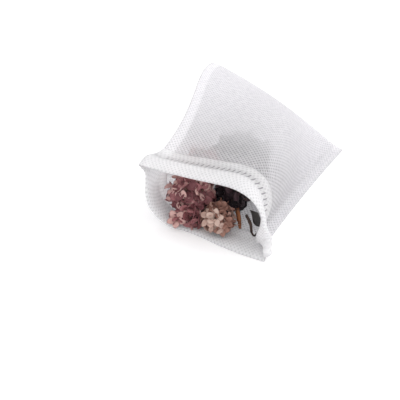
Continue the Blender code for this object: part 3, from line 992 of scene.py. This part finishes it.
class Heap:
    """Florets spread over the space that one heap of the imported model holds."""

    def __init__(self, node, florets, materials, rng, tree):
        self.node, self.florets, self.materials, self.rng, self.tree = node, florets, materials, rng, tree
        low, high = (Vector(corner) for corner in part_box(node))
        self.centre = (low + high) / 2
        self.radii = (high - low) / 2
        self.pieces = []

    def core(self, share, centre=None, radii=None):
        """Petals in the heart of the heap, coloured dark as painted shade deep inside it, so that no gap
        shows between the florets.
        """
        centre, radii = centre or self.centre, radii or self.radii
        bpy.ops.object.select_all(action="DESELECT")
        bpy.ops.mesh.primitive_ico_sphere_add(subdivisions=4, radius=1.0, location=(0, 0, 0))
        core = bpy.context.active_object
        for vertex in core.data.vertices:
            direction = vertex.co.normalized()
            swell = share * (1.0 + 0.30 * noise.noise(direction * 3.4) + 0.16 * noise.noise(direction * 9.0))
            vertex.co = Vector([centre[i] + direction[i] * radii[i] * swell for i in range(3)])
        core.data.shade_smooth()
        core.data.materials.append(self.materials["shaded_heart"])
        set_tone(core, 0.0)
        self.pieces.append(core)

    def spread(self, count, size, lowest, share=0.8, centre=None, radii=None):
        """Florets set evenly over an egg shape, from its top down to `lowest`, which is -1 at its foot."""
        centre, radii = centre or self.centre, radii or self.radii
        golden = math.pi * (3.0 - math.sqrt(5.0))
        for k in range(count):
            height = 1.0 - (1.0 - lowest) * (k + 0.5) / count
            ring = math.sqrt(max(0.0, 1.0 - height * height))
            angle = golden * k + self.rng.uniform(-0.3, 0.3)
            direction = Vector((ring * math.cos(angle), ring * math.sin(angle), height))
            reach = share * self.rng.uniform(0.86, 1.06)
            place = Vector([centre[i] + direction[i] * radii[i] * reach for i in range(3)])
            self.set_floret(place, direction, size)

    def set_floret(self, place, direction, size):
        piece = copy_of(self.rng.choice(self.florets), f"{self.node}_floret")
        dress(piece, self.materials)
        set_tone(piece, self.rng.random())
        facing = (direction + Vector([self.rng.uniform(-0.45, 0.45) for _ in range(3)])).normalized()
        turn = facing.to_track_quat("Z", "Y").to_matrix().to_4x4()
        spin = Matrix.Rotation(self.rng.uniform(0, math.tau), 4, "Z")
        scale = Matrix.Scale(size * self.rng.uniform(0.82, 1.2), 4)
        piece.matrix_world = Matrix.Translation(place) @ turn @ spin @ scale
        self.pieces.append(piece)

    def finish(self, slot):
        """Joins the florets, keeps them off the walls and puts them in place of their node."""
        piece = joined(self.pieces, f"{self.node}_petals")
        keep_inside(piece, self.tree)
        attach(piece, "root")
        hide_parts(self.node)
        return piece


def middle_line(node):
    """The middles of three stretches of a thin node, from its higher end to its lower one."""
    points = np.array([tuple(v.co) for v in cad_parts[node].data.vertices])
    centred = points - points.mean(axis=0)
    axis = np.linalg.svd(centred, full_matrices=False)[2][0]
    order = np.argsort(centred @ axis if axis[2] < 0 else -(centred @ axis))
    return [Vector(points[stretch].mean(axis=0)) for stretch in np.array_split(order, 3)]


def make_stalk(name, node, radius, material, hook=0.0):
    """A dry stalk along its node: a bevelled curve that tapers, with small knots, made into a mesh."""
    line = middle_line(node)
    if hook:
        line.append(line[-1] + Vector((hook, -hook * 0.5, radius * 0.8)))
        line.append(line[-1] + Vector((hook * 0.5, hook * 0.3, hook * 0.9)))
    curve = bpy.data.curves.new(name, "CURVE")
    curve.dimensions = "3D"
    curve.bevel_depth = radius
    curve.bevel_resolution = 5
    curve.use_fill_caps = True
    spline = curve.splines.new("BEZIER")
    spline.bezier_points.add(len(line) - 1)
    for k, (target, point) in enumerate(zip(spline.bezier_points, line)):
        target.co = point
        target.handle_left_type = target.handle_right_type = "AUTO"
        target.radius = 1.0 - 0.45 * k / (len(line) - 1) + (0.35 if k == 1 else 0.0)
    curve.resolution_u = 14
    stalk = bpy.data.objects.new(name, curve)
    bpy.context.scene.collection.objects.link(stalk)
    select_only(stalk)
    bpy.ops.object.convert(target="MESH")
    bpy.ops.object.mode_set(mode="EDIT")
    bpy.ops.mesh.select_all(action="SELECT")
    bpy.ops.mesh.remove_doubles(threshold=0.000001)
    bpy.ops.mesh.normals_make_consistent(inside=False)
    bpy.ops.object.mode_set(mode="OBJECT")
    for vertex in stalk.data.vertices:
        uneven = [noise.noise(vertex.co * 900 + Vector((k * 7.1, 0, 0))) for k in range(3)]
        vertex.co += Vector(uneven) * radius * 0.3
    stalk.data.shade_smooth()
    stalk.data.materials.clear()
    stalk.data.materials.append(material)
    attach(stalk, "root")
    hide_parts(node)
    return stalk


def make_leaf(name, node, material):
    """A dry leaf standing on its foot, folded along its midrib and curled at the tip."""
    points = sorted((Vector(v.co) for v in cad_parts[node].data.vertices), key=lambda p: p.z)
    foot = sum(points[:8], Vector()) / 8
    tip = sum(points[-8:], Vector()) / 8
    leaf = make_petal(name, (tip - foot).length, 0.0062, POINTED, 34, 60, 0.0012, 3)
    turn = (tip - foot).normalized().to_track_quat("Z", "Y").to_matrix().to_4x4()
    leaf.matrix_world = Matrix.Translation(foot) @ turn @ Matrix.Rotation(math.radians(75), 4, "Z")
    select_only(leaf)
    bpy.ops.object.transform_apply(location=True, rotation=True, scale=True)
    leaf.data.materials[0] = material
    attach(leaf, "root")
    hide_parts(node)
    return leaf


def fill_the_bag(tree):
    """The dried flowers: petals and florets modelled once, heaps of their copies, two stalks and a leaf."""
    rng = random.Random(41)
    round_petals = [
        make_petal("round_petal_a", 0.0034, 0.0030, ROUNDED, -38, 45, 0.0011, 1),
        make_petal("round_petal_b", 0.0031, 0.0033, ROUNDED, -64, 20, 0.0014, 2),
        make_petal("round_petal_c", 0.0036, 0.0028, ROUNDED, 30, 70, 0.0013, 3),
    ]
    pointed_petals = [
        make_petal("pointed_petal_a", 0.0046, 0.0028, POINTED, -34, 55, 0.0012, 4),
        make_petal("pointed_petal_b", 0.0042, 0.0031, POINTED, -58, 30, 0.0014, 5),
    ]
    open_florets = [
        make_floret("floret_open", round_petals, 62, 5, rng),
        make_floret("floret_half", round_petals[::-1], 44, 5, rng),
        make_floret("floret_flat", round_petals[1:] + round_petals[:1], 76, 6, rng),
    ]
    star_florets = [
        make_floret("floret_star", pointed_petals, 66, 5, rng),
        make_floret("floret_cup", pointed_petals, 38, 5, rng),
    ]
    centre = make_dry_plant("dried_flower_centre", "#3a2420", "#6e4a40", 900.0, (1.0, 1.0, 1.0))
    mauve = make_petals("dried_mauve_petals", "#7c454b", "#bd7d80", "#ebc3bc", "#8a4b51")
    # Painted shade: near-black mauve and pink for the petals deep in the heaps, where little light reaches
    mauve_shaded_heart = make_petals("mauve_heart_painted_shade", "#2c171d", "#4a2a33", "#5f3a44", "#2c171d")
    pink = make_petals("dried_pink_petals", "#855646", "#c29384", "#ead0c3", "#9c6959")
    pink_shaded_heart = make_petals("pink_heart_painted_shade", "#4a2f2c", "#7d5850", "#94706a", "#4a2f2c")
    # Near-black petals: partly the dark flowers' own colour, partly painted shade of the bag's deep back
    # corner
    dark = make_petals("dried_dark_petals", "#1b0f14", "#33202a", "#4b3038", "#1b0f14")
    for node, slot, florets, petal, shaded_heart, count, size, lowest in (
        ("mauve_flowers", "mauve_petals", open_florets + star_florets[:1], mauve, mauve_shaded_heart, 74, 1.15, -0.6),
        ("pink_flowers", "pink_petals", open_florets[:2] + star_florets, pink, pink_shaded_heart, 36, 0.86, -0.5),
        ("dark_flowers", "dark_petals", open_florets, dark, dark, 46, 1.2, -0.4),
    ):
        materials = {"petal": petal, "centre": centre, "shaded_heart": shaded_heart}
        heap = Heap(node, florets, materials, rng, tree)
        heap.core(0.72)
        heap.spread(count, size, lowest)
        for middle, radii, more in LEANING_CLUMPS.get(node, ()):
            heap.core(0.6, middle, radii)
            heap.spread(more, size, -0.9, 0.8, middle, radii)
        heap.finish(slot)
    mauve_set = {"petal": mauve, "centre": centre, "shaded_heart": mauve_shaded_heart}
    fallen = Heap("fallen_petals", star_florets, mauve_set, rng, tree)
    fallen.spread(5, 0.95, 0.0, 0.5)
    fallen.finish("mauve_petals")
    bud = Heap("small_bud", star_florets[1:], mauve_set, rng, tree)
    bud.core(0.5)
    bud.spread(7, 0.62, -0.8, 0.5)
    bud.finish("mauve_petals")
    brown = make_dry_plant("dried_stalk", "#5a2f14", "#a8663a", 700.0, (1.0, 1.0, 0.2))
    dark_stalk = make_dry_plant("dried_dark_stalk", "#1c110c", "#3d271c", 700.0, (1.0, 1.0, 0.2))
    leaf = make_dry_plant("dried_leaf", "#120c0b", "#2a1d1a", 500.0, (1.0, 1.0, 0.4))
    make_stalk("brown_stalk", "brown_stem", 0.0009, brown)
    keep_inside(make_stalk("hooked_stalk", "dark_stem", 0.0006, dark_stalk, 0.0012), tree)
    make_leaf("curled_leaf", "dark_leaf", leaf)
    for piece in open_florets + star_florets + round_petals + pointed_petals:
        bpy.data.objects.remove(piece, do_unlink=True)
    for name in ("petal", "centre"):
        bpy.data.materials.remove(bpy.data.materials[name])


# Floor, light and camera


def make_floor():
    """A plain pale floor that takes the bag's soft shadow and looks white to the camera."""
    material, tree = new_material("pale_floor")
    path = add_node(tree, "LightPath")
    seen = add_node(
        tree,
        "Math",
        path.outputs["Is Camera Ray"],
        path.outputs["Is Transmission Ray"],
        operation="MAXIMUM",
    )
    seen = add_node(tree, "Math", seen, path.outputs["Is Glossy Ray"], operation="MAXIMUM")
    place = add_node(tree, "TexCoord").outputs["Object"]
    grain = add_node(tree, "TexNoise", {"Vector": place, "Scale": 90.0, "Detail": 3.0})
    colour = add_node(tree, "Mix", {0: grain, 6: linear("#ecebec"), 7: linear("#f1f0f1")}, data_type="RGBA")
    surface = add_node(tree, "BsdfPrincipled", {"Base Color": colour, "Roughness": 0.9})
    glow = add_node(
        tree, "Emission", {"Strength": add_node(tree, "Math", seen, 0.24, operation="MULTIPLY")}
    )
    add_node(tree, "OutputMaterial", {"Surface": add_node(tree, "AddShader", {0: surface, 1: glow})})
    bpy.ops.object.select_all(action="DESELECT")
    bpy.ops.mesh.primitive_plane_add(size=3.0, location=(0, 0, -0.0002))
    floor = bpy.context.active_object
    floor.name = "floor"
    floor.data.materials.append(material)


def make_light():
    """An even white room, and one large soft lamp behind the bag on its right."""
    world = bpy.data.worlds.new("soft_room")
    bpy.context.scene.world = world
    world.use_nodes = True
    tree = world.node_tree
    tree.nodes.clear()
    sky = add_node(tree, "Background", {"Color": (1.0, 1.0, 1.0, 1.0), "Strength": 1.0})
    add_node(tree, "OutputWorld", {"Surface": sky})
    lamp = bpy.data.lights.new("window", "AREA")
    lamp.shape = "RECTANGLE"
    lamp.size, lamp.size_y = 0.7, 0.5
    lamp.energy = 2.0
    window = bpy.data.objects.new("window", lamp)
    window.location = (0.34, 0.30, 0.62)
    window.rotation_euler = (Vector((0, 0, 0)) - window.location).to_track_quat("-Z", "Y").to_euler()
    bpy.context.scene.collection.objects.link(window)


def make_camera():
    """The photograph's viewing angle."""
    tilt, turn = math.radians(VIEW_TILT), math.radians(VIEW_TURN)
    look = Vector((-math.cos(tilt) * math.sin(turn), math.cos(tilt) * math.cos(turn), -math.sin(tilt)))
    target = Matrix.Rotation(turn, 3, "Z") @ Vector((*VIEW_SHIFT, 0))
    lens = bpy.data.cameras.new("camera")
    lens.sensor_width = 36.0
    lens.lens = 36.0 * VIEW_FOCUS
    lens.clip_start = 0.01
    camera = bpy.data.objects.new("camera", lens)
    camera.location = target - look * VIEW_DISTANCE
    camera.rotation_euler = look.to_track_quat("-Z", "Y").to_euler()
    bpy.context.scene.collection.objects.link(camera)
    bpy.context.scene.camera = camera
    bpy.context.scene.view_settings.view_transform = "Standard"


def main():
    make_camera()
    layout = Layout()
    bag = Skin(layout).build("nonwoven_bag", make_nonwoven())
    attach(bag, "root")
    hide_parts("filter_bag")
    fill_the_bag(layout.hollow_tree())
    make_floor()
    make_light()


main()
